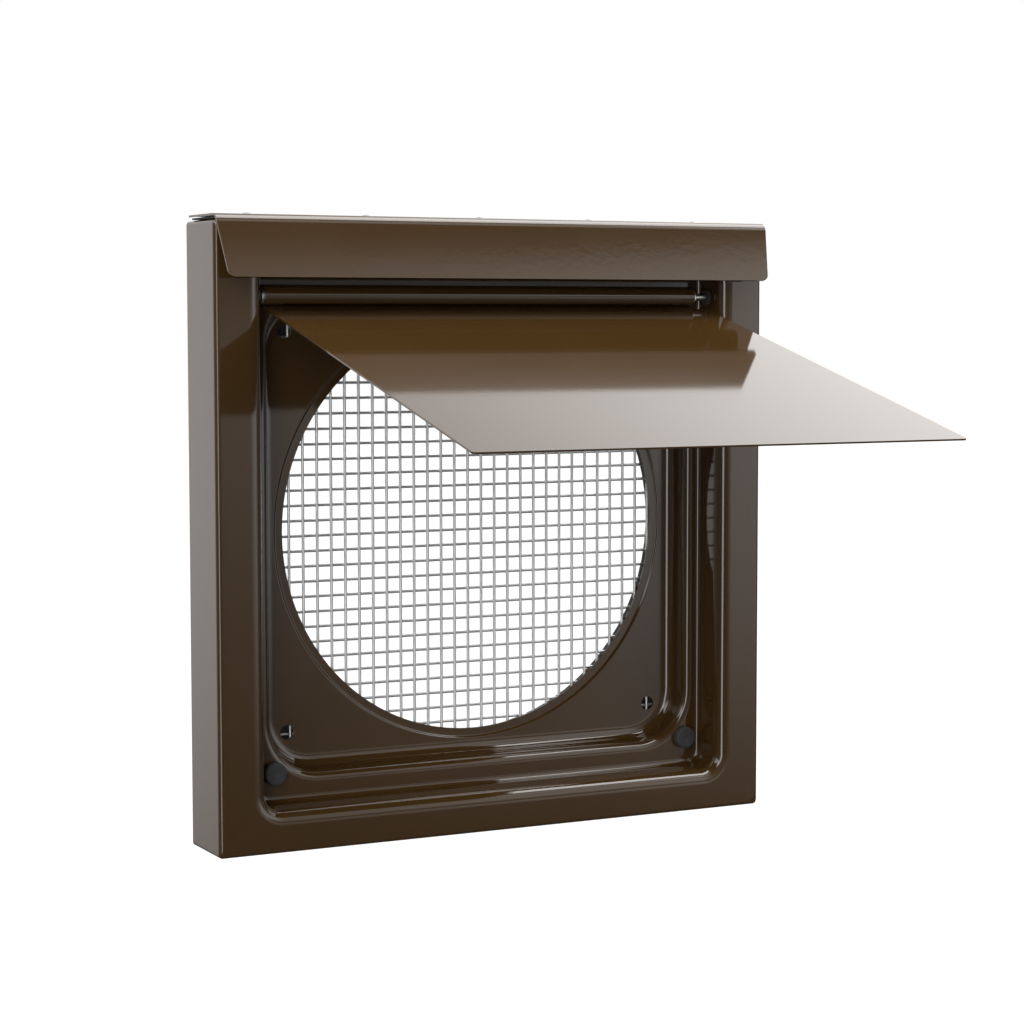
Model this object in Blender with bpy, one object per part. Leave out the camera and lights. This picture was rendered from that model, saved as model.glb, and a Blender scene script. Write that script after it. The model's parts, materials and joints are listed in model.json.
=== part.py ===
"""Flush wall vent with a hinged damper and a bird screen, for a 7 inch duct.

A pressed sheet steel housing with a stepped recess carries a flat damper blade on a
hinge rod, two rubber bumpers, a rain hood, a wire screen and a foam wall gasket.

Frame: metres, +Z up, +X to the right seen from outside, +Y into the wall.
The origin is on the axis of the duct, in the plane of the gasket's wall face.
Depths are counted from the front of the housing flange towards the wall.
"""
import math

import bmesh
import bpy
from mathutils import Matrix

MM = 0.001

# Sheet and clearances
SHEET = 0.9 * MM
BLADE_SHEET = 0.7 * MM
HOOD_SHEET = 0.9 * MM
SEAT_GAP = 0.3 * MM

# Duct opening and the pressed back plate, from the middle outwards
OPENING_DIAMETER = 175.4 * MM
RIM_WIDTH = 4.0 * MM
RIM_STEP = 0.8 * MM
RIM_STEP_RUN = 0.6 * MM
PLATE_MARGIN = 0.7 * MM
FIXING_HOLE = 6.0 * MM
FIXING_INSET_SIDE = 6.0 * MM
FIXING_INSET_END = 9.3 * MM

# Pocket, shelf, recess and flange of the housing
POCKET_DEPTH = 12.4 * MM
POCKET_FOOT_ROUNDING = 5.2 * MM
POCKET_RUN = 1.0 * MM
POCKET_CORNER = 22.0 * MM
POCKET_EDGE_ROUNDING = 3.4 * MM
SHELF_SIDE = 6.6 * MM
SHELF_END = 10.6 * MM
SHELF_DEPTH = 15.8 * MM
RECESS_CORNER = 6.0 * MM
RECESS_FOOT_ROUNDING = 2.2 * MM
RECESS_RUN = 1.6 * MM
FLANGE_SIDE = 20.2 * MM
FLANGE_END = 16.6 * MM
FLANGE_EDGE_ROUNDING = 5.2 * MM
HOUSING_REAR_MARGIN = 3.3 * MM
HOUSING_BEND = 2.2 * MM
HOUSING_CORNER = 1.7 * MM

# Rain hood over the top of the flange, on a strip of foam tape
HOOD_GAP = 1.3 * MM
HOOD_DROP = 25.0 * MM
HOOD_LIP = 7.4 * MM
HOOD_BEND = 3.4 * MM
HOOD_STANDOFF = 1.4 * MM
HOOD_REAR_INSET = 3.0 * MM
HOOD_END_TRIM = 2.7 * MM
HOOD_LIP_CORNER = 2.5 * MM
HOOD_SEAL_INSET = 1.0 * MM
HOOD_SEAL_FRONT = 0.5 * MM
RIVET_COUNT = 5
RIVET_END_INSET = 22.0 * MM
RIVET_REAR_INSET = 8.0 * MM
RIVET_SHANK = 3.2 * MM
RIVET_HEAD = 6.4 * MM
RIVET_DOME = 1.0 * MM
RIVET_TAIL = 2.2 * MM
RIVET_TAIL_BULGE = 4.3 * MM
RIVET_TAIL_END = 1.9 * MM
HOLE_CUT = 4.0 * MM

# Hinge and damper
HINGE_DROP = 30.0 * MM
HINGE_STANDOFF = 5.2 * MM
ROD_DIAMETER = 3.0 * MM
RUNNING_CLEARANCE = 0.09 * MM
ROD_OVERHANG = 2.2 * MM
ROD_CHAMFER = 0.3 * MM
KNUCKLE_DIAMETER = 9.0 * MM
KNUCKLE_WRAP = math.radians(300)
BLADE_SIDE_CLEARANCE = 2.88 * MM
BLADE_END_CLEARANCE = 8.9 * MM
BLADE_NOTCH = 5.85 * MM
BLADE_NOTCH_LENGTH = 7.0 * MM
BLADE_CORNER = 1.5 * MM
BLADE_OPEN_ANGLE = math.radians(75.28)
KNUCKLE_BUSH_FLANGE = 7.0 * MM
KNUCKLE_BUSH_RIM = 0.9 * MM
KNUCKLE_BUSH_LENGTH = 9.0 * MM
WALL_BUSH_FLANGE = 6.8 * MM
WALL_BUSH_RIM = 0.7 * MM
WALL_BUSH_WALL = 0.9 * MM
WALL_BUSH_OVERHANG = 1.0 * MM
CLIP_DIAMETER = 7.0 * MM
CLIP_THICKNESS = 0.8 * MM
CLIP_SLOT = 2.0 * MM
CLIP_GRIP = 0.2 * MM
CLIP_GROOVE_DEPTH = 0.4 * MM

# Rubber bumpers on the shelf
BUMPER_DIAMETER = 9.6 * MM
BUMPER_HEIGHT = 3.3 * MM
BUMPER_ROUNDING = 0.9 * MM
BUMPER_DIMPLE = 2.6 * MM
BUMPER_DIMPLE_FLOOR = 1.6 * MM
BUMPER_DIMPLE_DEPTH = 0.25 * MM
BUMPER_NECK = 4.0 * MM
BUMPER_BARB = 6.0 * MM
BUMPER_BARB_LENGTH = 3.0 * MM
BUMPER_BARB_TIP = 2.8 * MM
BUMPER_SIDE_INSET = 7.7 * MM
BUMPER_END_INSET = 11.9 * MM

# Welded wire screen and wall gasket
WIRE = 0.9 * MM
WIRE_PITCH = 6.35 * MM
SCREEN_OVERLAP = 8.0 * MM
SCREEN_SHIFT_X = -1.5 * MM
SCREEN_SHIFT_Z = -1.85 * MM
GASKET_THICKNESS = 2.0 * MM
GASKET_HOLE_MARGIN = 1.3 * MM
GASKET_BORDER = 3.0 * MM

# Facets of round shapes
CORNER_STEPS = 8
BORE_STEPS = 72
SMALL_STEPS = 24
WIRE_STEPS = 6

SIDES = {"left": -1, "right": 1}

# Places worked out from the sizes above
PLATE_DEPTH = SHELF_DEPTH + POCKET_DEPTH
HOUSING_DEPTH = PLATE_DEPTH + HOUSING_REAR_MARGIN
OPENING_RADIUS = OPENING_DIAMETER / 2
RIM_RADIUS = OPENING_RADIUS + RIM_WIDTH
PLATE_HALF = RIM_RADIUS + PLATE_MARGIN
POCKET_FOOT_HALF = PLATE_HALF + POCKET_FOOT_ROUNDING
POCKET_HALF = POCKET_FOOT_HALF + POCKET_RUN
RECESS_FOOT_X = POCKET_HALF + SHELF_SIDE
RECESS_FOOT_Z = POCKET_HALF + SHELF_END
RECESS_X = RECESS_FOOT_X + RECESS_RUN
RECESS_Z = RECESS_FOOT_Z + RECESS_RUN
HOUSING_X = RECESS_X + FLANGE_SIDE
HOUSING_Z = RECESS_Z + FLANGE_END

RIM_BACK = PLATE_DEPTH + RIM_STEP + SHEET
UPRIGHT_DEPTH = RIM_BACK + SEAT_GAP + WIRE / 2
CROSS_DEPTH = UPRIGHT_DEPTH + WIRE + SEAT_GAP
GASKET_FRONT = CROSS_DEPTH + WIRE / 2 + SEAT_GAP
WALL_DEPTH = GASKET_FRONT + GASKET_THICKNESS

HOOD_UNDERSIDE = HOUSING_Z + HOOD_GAP
HOOD_TOP = HOOD_UNDERSIDE + HOOD_SHEET
HOOD_REAR = HOUSING_DEPTH - HOOD_REAR_INSET - WALL_DEPTH
RIVET_Y = HOOD_REAR - RIVET_REAR_INSET

HINGE_Z = HOUSING_Z - HINGE_DROP
HINGE_DEPTH = SHELF_DEPTH - HINGE_STANDOFF
HINGE_Y = HINGE_DEPTH - WALL_DEPTH
WALL_DRAFT = RECESS_RUN / SHELF_DEPTH
WALL_AT_HINGE = RECESS_X - WALL_DRAFT * HINGE_DEPTH
KNUCKLE_RADIUS = KNUCKLE_DIAMETER / 2
BLADE_HALF = WALL_AT_HINGE - BLADE_SIDE_CLEARANCE
KNUCKLE_ENDS = {"left": BLADE_HALF, "right": BLADE_HALF - BLADE_NOTCH}
BLADE_LENGTH = HINGE_Z + RECESS_FOOT_Z - BLADE_END_CLEARANCE

WALL_BUSH_BORE = ROD_DIAMETER / 2 + RUNNING_CLEARANCE
WALL_BUSH_SLEEVE = WALL_BUSH_BORE + WALL_BUSH_WALL
WALL_BUSH_SEAT = WALL_AT_HINGE - WALL_DRAFT * WALL_BUSH_FLANGE / 2 - SEAT_GAP
WALL_BUSH_END = WALL_AT_HINGE + WALL_DRAFT * WALL_BUSH_SLEEVE + SHEET + WALL_BUSH_OVERHANG
CLIP_SEAT = WALL_BUSH_END + SEAT_GAP


def clear_scene():
    for item in list(bpy.data.objects):
        bpy.data.objects.remove(item, do_unlink=True)


def make_material(name, colour, metallic, roughness):
    material = bpy.data.materials.new(name)
    material.use_nodes = True
    shader = material.node_tree.nodes["Principled BSDF"]
    shader.inputs["Base Color"].default_value = (*colour, 1.0)
    shader.inputs["Metallic"].default_value = metallic
    shader.inputs["Roughness"].default_value = roughness
    return material


def add_object(name, mesh, material=None):
    piece = bpy.data.objects.new(name, mesh)
    bpy.context.scene.collection.objects.link(piece)
    if material is not None:
        mesh.materials.append(material)
    return piece


def finish_mesh(name, bm, smooth_angle=35):
    mesh = bpy.data.meshes.new(name)
    bm.to_mesh(mesh)
    bm.free()
    mesh.shade_smooth()
    mesh.set_sharp_from_angle(angle=math.radians(smooth_angle))
    return mesh


def add_solidify(piece, thickness):
    """Gives a skin its sheet thickness behind its front face."""
    solid = piece.modifiers.new("sheet", "SOLIDIFY")
    solid.thickness = thickness
    solid.offset = -1.0
    solid.use_even_offset = True
    return solid


def add_boolean(piece, cutter, operation="DIFFERENCE"):
    cut = piece.modifiers.new(cutter.name, "BOOLEAN")
    cut.operation = operation
    cut.solver = "EXACT"
    cut.object = cutter
    cutter.hide_render = True
    cutter.display_type = "WIRE"
    return cut


def round_path(stations):
    """Rounds the corners of a path of (values, rounding) stations.

    The first two values set the length of a leg. A corner becomes a short curve
    that starts and ends at the rounding's distance along its two legs.
    """
    steps = 4
    path = []
    for index, (corner, rounding) in enumerate(stations):
        if rounding == 0:
            path.append(corner)
            continue
        ends = []
        for neighbour in (stations[index - 1][0], stations[index + 1][0]):
            leg = [b - a for a, b in zip(corner, neighbour)]
            length = math.hypot(leg[0], leg[1])
            ends.append([a + d * rounding / length for a, d in zip(corner, leg)])
        for step in range(steps + 1):
            t = step / steps
            weights = ((1 - t) ** 2, 2 * t * (1 - t), t ** 2)
            values = zip(ends[0], corner, ends[1])
            path.append([sum(w * v for w, v in zip(weights, trio)) for trio in values])
    return path


def rounded_rectangle(half_x, half_z, radius, steps=CORNER_STEPS):
    """Outline points (x, z), anticlockwise seen from the front."""
    points = []
    for quarter in range(4):
        side_x = (1, -1, -1, 1)[quarter]
        side_z = (1, 1, -1, -1)[quarter]
        centre_x = side_x * (half_x - radius)
        centre_z = side_z * (half_z - radius)
        for step in range(steps + 1):
            angle = (quarter + step / steps) * math.pi / 2
            points.append((centre_x + radius * math.cos(angle),
                           centre_z + radius * math.sin(angle)))
    return points


def circle(radius, steps, centre=(0.0, 0.0)):
    points = []
    for step in range(steps):
        angle = 2 * math.pi * (step + 0.5) / steps
        points.append((centre[0] + radius * math.cos(angle),
                       centre[1] + radius * math.sin(angle)))
    return points


def ring_of(bm, outline, depth):
    """Adds a closed outline at a depth behind the flange."""
    return [bm.verts.new((x, depth - WALL_DEPTH, z)) for x, z in outline]


def bridge(bm, outer, inner):
    """Joins two rings of equal count with faces towards the front."""
    count = len(outer)
    for index in range(count):
        after = (index + 1) % count
        bm.faces.new((outer[index], outer[after], inner[after], inner[index]))


def ring_edges(bm, ring):
    """The edges of a closed ring, made where they are missing."""
    edges = []
    for index, vert in enumerate(ring):
        after = ring[(index + 1) % len(ring)]
        edges.append(bm.edges.get((vert, after)) or bm.edges.new((vert, after)))
    return edges


def turned_mesh(name, profile, steps, axis="X"):
    """Turns a closed profile of (radius, along) points round an axis."""
    bm = bmesh.new()
    spun = {"X": (lambda r, s, a: (s, r * math.cos(a), r * math.sin(a))),
            "Y": (lambda r, s, a: (r * math.cos(a), s, r * math.sin(a))),
            "Z": (lambda r, s, a: (r * math.cos(a), r * math.sin(a), s))}[axis]
    rings = []
    for radius, along in profile:
        if radius == 0:
            rings.append([bm.verts.new(spun(0, along, 0))])
            continue
        rings.append([bm.verts.new(spun(radius, along, 2 * math.pi * k / steps))
                      for k in range(steps)])
    for ring, after in zip(rings, rings[1:] + rings[:1]):
        if len(ring) == 1 and len(after) == 1:
            continue
        for k in range(steps):
            corners = [ring[k % len(ring)], ring[(k + 1) % len(ring)],
                       after[(k + 1) % len(after)], after[k % len(after)]]
            bm.faces.new(list(dict.fromkeys(corners)))
    bmesh.ops.recalc_face_normals(bm, faces=bm.faces)
    return finish_mesh(name, bm)


def rod_mesh(name, segments, steps, axis="Z"):
    """Several separate round bars (centre, radius, length) in one mesh."""
    turn = {"X": Matrix.Rotation(math.pi / 2, 4, "Y"),
            "Y": Matrix.Rotation(math.pi / 2, 4, "X"),
            "Z": Matrix.Identity(4)}[axis]
    bm = bmesh.new()
    for centre, radius, length in segments:
        bmesh.ops.create_cone(bm, cap_ends=True, segments=steps, radius1=radius,
                              radius2=radius, depth=length,
                              matrix=Matrix.Translation(centre) @ turn)
    return finish_mesh(name, bm)


def strip_mesh(name, rows):
    """A skin from rows (left end, right end, y, z), each running along X."""
    bm = bmesh.new()
    previous = None
    for left, right, y, z in rows:
        row = (bm.verts.new((left, y, z)), bm.verts.new((right, y, z)))
        if previous is not None:
            bm.faces.new((previous[0], previous[1], row[1], row[0]))
        previous = row
    return finish_mesh(name, bm)


def housing_stations():
    """Corners of the pressed profile from the wall edge to the back plate.

    Each is (half width, depth, half height, corner radius). The extra stations on
    the flat zones keep the corner radii concentric with each rounding, and stand a
    little further from the corner than the rounding reaches.
    """
    recess_radius = RECESS_CORNER + RECESS_RUN
    foot_radius = POCKET_CORNER - POCKET_RUN
    near = 1.05
    flange_out = near * FLANGE_EDGE_ROUNDING
    shelf_out = near * RECESS_FOOT_ROUNDING
    pocket_out = near * POCKET_EDGE_ROUNDING

    def station(half_x, half_z, depth, radius, rounding=0):
        return [(half_x, depth, half_z, radius), rounding]

    return [
        station(HOUSING_X, HOUSING_Z, HOUSING_DEPTH, HOUSING_CORNER),
        station(HOUSING_X, HOUSING_Z, 0, HOUSING_CORNER, HOUSING_BEND),
        station(RECESS_X + flange_out, RECESS_Z + flange_out, 0, recess_radius + flange_out),
        station(RECESS_X, RECESS_Z, 0, recess_radius, FLANGE_EDGE_ROUNDING),
        station(RECESS_FOOT_X, RECESS_FOOT_Z, SHELF_DEPTH, RECESS_CORNER,
                RECESS_FOOT_ROUNDING),
        station(RECESS_FOOT_X - shelf_out, RECESS_FOOT_Z - shelf_out, SHELF_DEPTH,
                RECESS_CORNER - shelf_out),
        station(POCKET_HALF + pocket_out, POCKET_HALF + pocket_out, SHELF_DEPTH,
                POCKET_CORNER + pocket_out),
        station(POCKET_HALF, POCKET_HALF, SHELF_DEPTH, POCKET_CORNER, POCKET_EDGE_ROUNDING),
        station(POCKET_FOOT_HALF, POCKET_FOOT_HALF, PLATE_DEPTH, foot_radius,
                POCKET_FOOT_ROUNDING),
        station(PLATE_HALF, PLATE_HALF, PLATE_DEPTH, foot_radius - POCKET_FOOT_ROUNDING),
    ]


def fixing_places():
    half_x = PLATE_HALF - FIXING_INSET_SIDE
    half_z = PLATE_HALF - FIXING_INSET_END
    return [(sx * half_x, sz * half_z) for sx in (-1, 1) for sz in (-1, 1)]


def bumper_centre(sign):
    return sign * (RECESS_FOOT_X - BUMPER_SIDE_INSET), BUMPER_END_INSET - RECESS_FOOT_Z


def rivet_places():
    reach = HOUSING_X - RIVET_END_INSET
    return [-reach + 2 * reach * k / (RIVET_COUNT - 1) for k in range(RIVET_COUNT)]


def rivet_hole_cutter(name, height):
    """Bars that cut the holes for the rivets through a sheet at a height."""
    bars = [((x, RIVET_Y, height), RIVET_SHANK / 2 + SEAT_GAP, HOLE_CUT) for x in rivet_places()]
    return add_object(name, rod_mesh(name, bars, SMALL_STEPS, "Z"))


def build_housing(coat):
    bm = bmesh.new()
    rings = []
    # The foot's rounding ends on the last station, so that one adds no ring
    for half_x, depth, half_z, radius in round_path(housing_stations())[:-1]:
        rings.append(ring_of(bm, rounded_rectangle(half_x, half_z, radius), depth))
    for outer, inner in zip(rings, rings[1:]):
        bridge(bm, outer, inner)
    step_ring = ring_of(bm, circle(RIM_RADIUS, BORE_STEPS), PLATE_DEPTH)
    low_ring = ring_of(bm, circle(RIM_RADIUS - RIM_STEP_RUN, BORE_STEPS), PLATE_DEPTH + RIM_STEP)
    bore_ring = ring_of(bm, circle(OPENING_RADIUS, BORE_STEPS), PLATE_DEPTH + RIM_STEP)
    bridge(bm, step_ring, low_ring)
    bridge(bm, low_ring, bore_ring)
    edges = ring_edges(bm, rings[-1]) + ring_edges(bm, step_ring)
    for place in fixing_places():
        edges += ring_edges(bm, ring_of(bm, circle(FIXING_HOLE / 2, SMALL_STEPS, place),
                                        PLATE_DEPTH))
    bmesh.ops.triangle_fill(bm, use_beauty=True, edges=edges, normal=(0, -1, 0))
    housing = add_object("housing", finish_mesh("housing", bm), coat)
    add_solidify(housing, SHEET)

    shelf_y = SHELF_DEPTH - WALL_DEPTH
    bumpers = [bumper_centre(sign) for sign in SIDES.values()]
    hinge_cut = add_object("hinge_hole_cutter", rod_mesh("hinge_hole_cutter", [
        ((sign * WALL_AT_HINGE, HINGE_Y, HINGE_Z), WALL_BUSH_SLEEVE + SEAT_GAP, HOLE_CUT)
        for sign in SIDES.values()], SMALL_STEPS, "X"))
    bumper_cut = add_object("bumper_hole_cutter", rod_mesh("bumper_hole_cutter", [
        ((x, shelf_y, z), BUMPER_NECK / 2 + SEAT_GAP, HOLE_CUT)
        for x, z in bumpers], SMALL_STEPS, "Y"))
    for cutter in (hinge_cut, bumper_cut, rivet_hole_cutter("rivet_hole_cutter", HOUSING_Z)):
        add_boolean(housing, cutter)


def build_hood(coat):
    """Top plate, front bend and sloping lip, trimmed and rounded at both ends."""
    front = -WALL_DEPTH - HOOD_STANDOFF - HOOD_SHEET
    lip = front - HOOD_LIP
    foot = HOOD_TOP - HOOD_DROP
    corners = [[(HOOD_REAR, HOOD_TOP), 0], [(front, HOOD_TOP), HOOD_BEND], [(lip, foot), 0]]
    path = round_path(corners)
    start = path[-2]
    slope = math.hypot(lip - start[0], foot - start[1])

    def half_at(distance):
        """Half width at a distance above the foot of the lip."""
        half = HOUSING_X - HOOD_END_TRIM * (1 - distance / slope)
        if distance < HOOD_LIP_CORNER:
            reach = HOOD_LIP_CORNER - distance
            half -= HOOD_LIP_CORNER - math.sqrt(HOOD_LIP_CORNER ** 2 - reach ** 2)
        return half

    rows = [(-HOUSING_X, HOUSING_X, y, z) for y, z in path[:-1]]
    steps = 6
    for step in range(steps + 1):
        distance = HOOD_LIP_CORNER * (1 - math.sin(step / steps * math.pi / 2))
        share = distance / slope
        half = half_at(distance)
        rows.append((-half, half, lip + (start[0] - lip) * share,
                     foot + (start[1] - foot) * share))
    hood = add_object("hood", strip_mesh("hood", rows[::-1]), coat)
    add_solidify(hood, HOOD_SHEET)
    add_boolean(hood, rivet_hole_cutter("hood_hole_cutter", HOOD_TOP))


def build_hood_seal(foam):
    """Foam tape between the top of the housing and the hood, cut for the rivets."""
    half = HOUSING_X - HOOD_SEAL_INSET
    front = HOOD_SEAL_FRONT - WALL_DEPTH
    rear = HOOD_REAR - HOOD_SEAL_INSET
    thickness = HOOD_GAP - 2 * SEAT_GAP
    middle = HOUSING_Z + HOOD_GAP / 2
    size = (2 * half, rear - front, thickness)
    place = Matrix.Translation((0, (front + rear) / 2, middle)) @ Matrix.Diagonal((*size, 1))
    bm = bmesh.new()
    bmesh.ops.create_cube(bm, size=1.0, matrix=place)
    seal = add_object("hood_seal", finish_mesh("hood_seal", bm), foam)
    add_boolean(seal, rivet_hole_cutter("hood_seal_cutter", middle))


def build_rivets(steel):
    """Blind rivets that hold the hood's top plate to the top of the housing."""
    head_seat = HOOD_TOP + SEAT_GAP
    tail_seat = HOUSING_Z - SHEET - SEAT_GAP
    shank = RIVET_SHANK / 2
    head = RIVET_HEAD / 2
    bulge = RIVET_TAIL_BULGE / 2
    steps = 4
    profile = [(0, head_seat + RIVET_DOME)]
    for step in range(steps - 1, -1, -1):
        angle = step / steps * math.pi / 2
        profile.append((head * math.cos(angle), head_seat + RIVET_DOME * math.sin(angle)))
    profile += [(shank, head_seat), (shank, tail_seat), (bulge, tail_seat - RIVET_TAIL / 3),
                (bulge, tail_seat - 2 * RIVET_TAIL / 3),
                (RIVET_TAIL_END / 2, tail_seat - RIVET_TAIL), (0, tail_seat - RIVET_TAIL)]
    for number, x in enumerate(rivet_places(), start=1):
        name = f"hood_rivet_{number}"
        rivet = add_object(name, turned_mesh(name, profile, SMALL_STEPS // 2, "Z"), steel)
        rivet.location = (x, RIVET_Y, 0)


def damper_pivot():
    """Holds the damper's pieces on the hinge axis, at the open angle.

    In its own frame the blade hangs down from the rod along -Z and its outer face
    looks towards -Y.
    """
    pivot = bpy.data.objects.new("damper_pivot", None)
    bpy.context.scene.collection.objects.link(pivot)
    pivot.location = (0, HINGE_Y, HINGE_Z)
    pivot.rotation_euler = (-BLADE_OPEN_ANGLE, 0, 0)
    return pivot


def build_damper(coat, pivot):
    """Flat blade whose top edge is rolled forwards into a knuckle round the rod.

    The knuckle runs to the blade's left edge and stops short of the right one.
    """
    knuckle_steps = 20
    corner_steps = 4
    left = -KNUCKLE_ENDS["left"]
    right = KNUCKLE_ENDS["right"]
    rows = []
    for step in range(knuckle_steps + 1):
        angle = KNUCKLE_WRAP * (1 - step / knuckle_steps)
        rows.append((left, right, KNUCKLE_RADIUS * math.cos(angle),
                     KNUCKLE_RADIUS * math.sin(angle)))
    rows.append((left, right, KNUCKLE_RADIUS, BLADE_CORNER - BLADE_NOTCH_LENGTH))
    rows.append((-BLADE_HALF, BLADE_HALF, KNUCKLE_RADIUS, -BLADE_NOTCH_LENGTH))
    for step in range(corner_steps + 1):
        angle = step / corner_steps * math.pi / 2
        half = BLADE_HALF - BLADE_CORNER * (1 - math.cos(angle))
        rows.append((-half, half, KNUCKLE_RADIUS,
                     BLADE_CORNER * (1 - math.sin(angle)) - BLADE_LENGTH))
    blade = add_object("damper_blade", strip_mesh("damper_blade", rows), coat)
    add_solidify(blade, BLADE_SHEET)
    blade.parent = pivot


def build_knuckle_bushes(steel, pivot):
    """Flanged bushes pressed into the ends of the knuckle, turning on the rod."""
    bore = ROD_DIAMETER / 2 + RUNNING_CLEARANCE
    sleeve = KNUCKLE_RADIUS - BLADE_SHEET - SEAT_GAP
    flange = KNUCKLE_BUSH_FLANGE / 2
    for side, sign in SIDES.items():
        seat = KNUCKLE_ENDS[side] + SEAT_GAP
        end = seat + KNUCKLE_BUSH_RIM
        start = seat - KNUCKLE_BUSH_LENGTH
        profile = [(bore, start), (sleeve, start), (sleeve, seat), (flange, seat),
                   (flange, end), (bore, end)]
        name = f"knuckle_bush_{side}"
        points = [(radius, sign * along) for radius, along in profile]
        bush = add_object(name, turned_mesh(name, points, SMALL_STEPS, "X"), steel)
        bush.parent = pivot


def build_wall_bushes(nylon):
    """Flanged bushes in the side walls of the recess that carry the rod."""
    flange = WALL_BUSH_FLANGE / 2
    start = WALL_BUSH_SEAT - WALL_BUSH_RIM
    profile = [(WALL_BUSH_BORE, start), (flange, start), (flange, WALL_BUSH_SEAT),
               (WALL_BUSH_SLEEVE, WALL_BUSH_SEAT), (WALL_BUSH_SLEEVE, WALL_BUSH_END),
               (WALL_BUSH_BORE, WALL_BUSH_END)]
    for side, sign in SIDES.items():
        name = f"wall_bush_{side}"
        points = [(radius, sign * along) for radius, along in profile]
        bush = add_object(name, turned_mesh(name, points, SMALL_STEPS, "X"), nylon)
        bush.location = (0, HINGE_Y, HINGE_Z)


def build_rod(steel):
    """Hinge rod with a groove near each end for its retaining clip."""
    radius = ROD_DIAMETER / 2
    groove = radius - CLIP_GROOVE_DEPTH
    near = CLIP_SEAT - SEAT_GAP
    far = CLIP_SEAT + CLIP_THICKNESS + SEAT_GAP
    end = far + ROD_OVERHANG
    right = [(radius, near), (groove, near), (groove, far), (radius, far),
             (radius, end - ROD_CHAMFER), (radius - ROD_CHAMFER, end), (0, end)]
    left = [(r, -along) for r, along in reversed(right)]
    rod = add_object("hinge_rod", turned_mesh("hinge_rod", left + right, SMALL_STEPS, "X"), steel)
    rod.location = (0, HINGE_Y, HINGE_Z)


def build_clips(steel):
    """Retaining clips snapped into the grooves of the rod, open at the bottom."""
    inner = ROD_DIAMETER / 2 - CLIP_GROOVE_DEPTH + CLIP_GRIP
    steps = 20
    for side, sign in SIDES.items():
        bm = bmesh.new()
        faces = []
        for along in (CLIP_SEAT, CLIP_SEAT + CLIP_THICKNESS):
            arc = []
            for radius, turning in ((CLIP_DIAMETER / 2, 1), (inner, -1)):
                opening = math.asin(CLIP_SLOT / 2 / radius)
                sweep = turning * (math.pi - opening)
                for k in range(steps + 1):
                    angle = math.pi / 2 - sweep + 2 * sweep * k / steps
                    arc.append(bm.verts.new((sign * along, radius * math.cos(angle),
                                             radius * math.sin(angle))))
            faces.append(arc)
        near, far = faces
        bm.faces.new(near)
        bm.faces.new(far[::-1])
        for k, vert in enumerate(near):
            after = (k + 1) % len(near)
            bm.faces.new((vert, far[k], far[after], near[after]))
        bmesh.ops.recalc_face_normals(bm, faces=bm.faces)
        clip = add_object(f"rod_clip_{side}", finish_mesh(f"rod_clip_{side}", bm), steel)
        clip.location = (0, HINGE_Y, HINGE_Z)


def build_bumpers(rubber):
    """Push-in bumpers: a button on the shelf, a neck and a barb behind the sheet."""
    head = BUMPER_DIAMETER / 2
    neck = BUMPER_NECK / 2
    barb = BUMPER_BARB / 2
    seat = SHELF_DEPTH - SEAT_GAP
    front = SHELF_DEPTH - BUMPER_HEIGHT
    back = SHELF_DEPTH + SHEET + SEAT_GAP
    floor = front + BUMPER_DIMPLE_DEPTH
    tip = back + BUMPER_BARB_LENGTH
    steps = 3
    profile = [(0, floor), (BUMPER_DIMPLE_FLOOR / 2, floor), (BUMPER_DIMPLE / 2, front)]
    for step in range(steps + 1):
        angle = step / steps * math.pi / 2
        profile.append((head - BUMPER_ROUNDING * (1 - math.sin(angle)),
                        front + BUMPER_ROUNDING * (1 - math.cos(angle))))
    profile += [(head, seat), (neck, seat), (neck, back), (barb, back),
                (BUMPER_BARB_TIP / 2, tip), (0, tip)]
    for side, sign in SIDES.items():
        name = f"bumper_{side}"
        x, z = bumper_centre(sign)
        bumper = add_object(name, turned_mesh(name, profile, SMALL_STEPS, "Y"), rubber)
        bumper.location = (x, -WALL_DEPTH, z)


def wire_grid():
    """Places of the wires from the middle outwards, and the half size of the sheet."""
    reach = OPENING_RADIUS + SCREEN_OVERLAP
    count = int(reach / WIRE_PITCH)
    return [k * WIRE_PITCH for k in range(-count, count + 1)], count * WIRE_PITCH


def build_screen(zinc):
    """Welded wire cloth: uprights in front and cross wires behind them.

    Each set is closed by two end wires at right angles in its own plane.
    """
    places, half = wire_grid()
    radius = WIRE / 2
    length = 2 * half + WIRE
    sets = {"screen_uprights": (UPRIGHT_DEPTH, "Z"), "screen_cross_wires": (CROSS_DEPTH, "X")}
    for name, (depth, along) in sets.items():
        across = "X" if along == "Z" else "Z"

        def centre(offset):
            x, z = (offset, 0) if along == "Z" else (0, offset)
            return (SCREEN_SHIFT_X + x, depth - WALL_DEPTH, SCREEN_SHIFT_Z + z)

        def end_centre(offset):
            x, z = (0, offset) if along == "Z" else (offset, 0)
            return (SCREEN_SHIFT_X + x, depth - WALL_DEPTH, SCREEN_SHIFT_Z + z)

        wires = rod_mesh(name, [(centre(p), radius, length) for p in places], WIRE_STEPS, along)
        screen = add_object(name, wires, zinc)
        ends = rod_mesh(name + "_ends", [(end_centre(p), radius, length + 2 * WIRE)
                                         for p in (-half, half)], WIRE_STEPS, across)
        add_boolean(screen, add_object(name + "_ends", ends), "UNION")


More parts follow.
